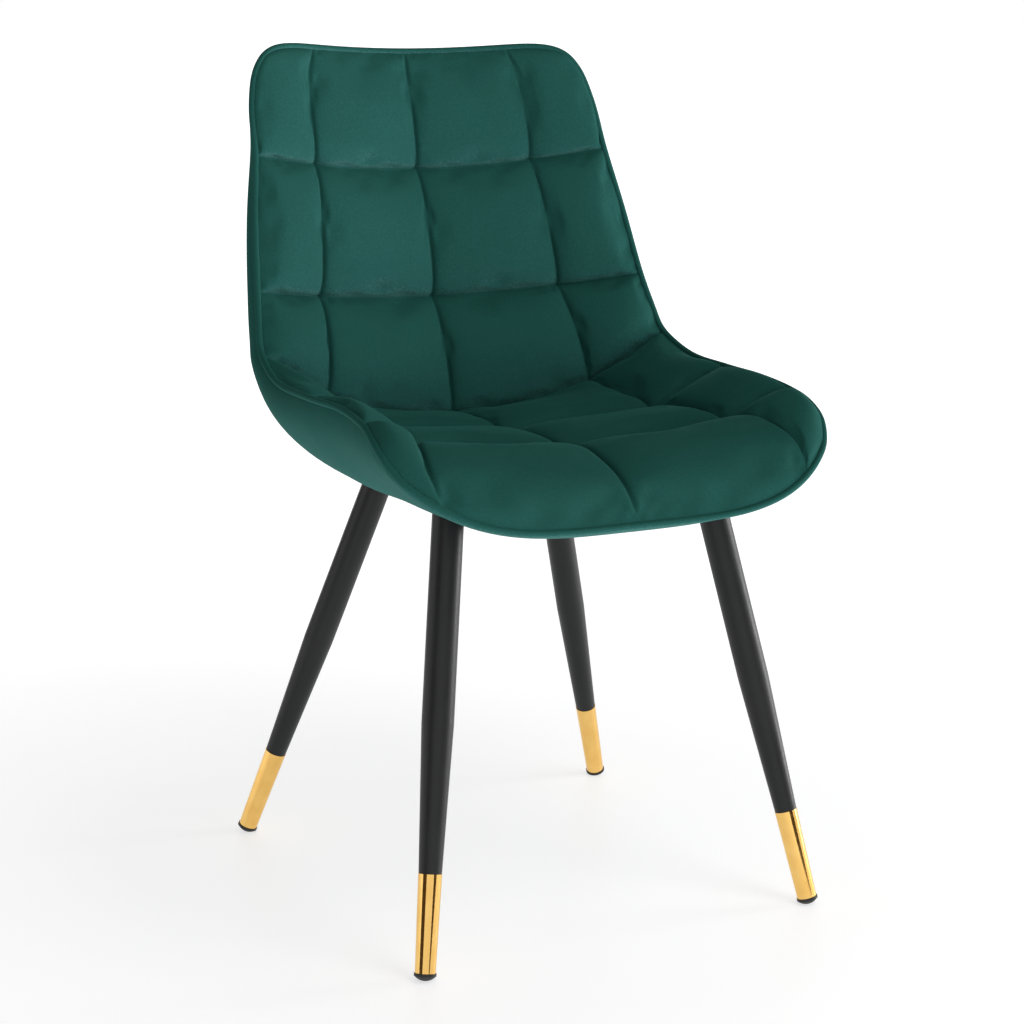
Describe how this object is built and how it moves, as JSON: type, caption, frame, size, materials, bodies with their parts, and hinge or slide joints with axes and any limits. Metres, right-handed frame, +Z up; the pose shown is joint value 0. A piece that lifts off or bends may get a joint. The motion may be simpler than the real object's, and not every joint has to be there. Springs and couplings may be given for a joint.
{
  "type": "upholstered dining chair",
  "caption": "Armless velvet dining chair: quilted bucket seat with piped rim on splayed, tapered round steel legs with gold end sleeves.",
  "frame": {"origin": "on the floor under the middle of the chair's bounding box", "axes": "+Z up, +X to the sitter's left, -Y towards the front, the way the sitter faces"},
  "size_m": [0.4892, 0.5488, 0.8512],
  "materials": {
    "velvet": "dark green short-pile velvet with a soft sheen",
    "foam": "cut polyurethane foam",
    "wadding": "thin polyurethane foam",
    "plywood": "bent birch plywood, raw",
    "nonwoven": "black spunbond nonwoven",
    "black_steel": "matt black powder coat",
    "gold_metal": "polished gold-coloured plating",
    "black_plastic": "black moulded nylon",
    "zinc": "zinc-plated steel"
  },
  "bodies": {
    "root": {"plywood_shell": "plywood", "foam_pad": "foam", "edge_roll": "foam", "outer_wadding": "wadding", "front_cover": "velvet", "outer_cover": "velvet", "rim_welt": "velvet", "dust_cover": "nonwoven", "dust_cover_staples": "zinc", "leg_front_left": "black_steel", "leg_front_right": "black_steel", "leg_rear_left": "black_steel", "leg_rear_right": "black_steel", "end_sleeve_front_left": "gold_metal", "end_sleeve_front_right": "gold_metal", "end_sleeve_rear_left": "gold_metal", "end_sleeve_rear_right": "gold_metal", "floor_glide_front_left": "black_plastic", "floor_glide_front_right": "black_plastic", "floor_glide_rear_left": "black_plastic", "floor_glide_rear_right": "black_plastic", "mount_plate_front_left": "zinc", "mount_plate_front_right": "zinc", "mount_plate_rear_left": "zinc", "mount_plate_rear_right": "zinc", "plate_screws": "zinc", "leg_top_plugs": "black_steel", "leg_studs": "zinc"}
  },
  "joints": []
}
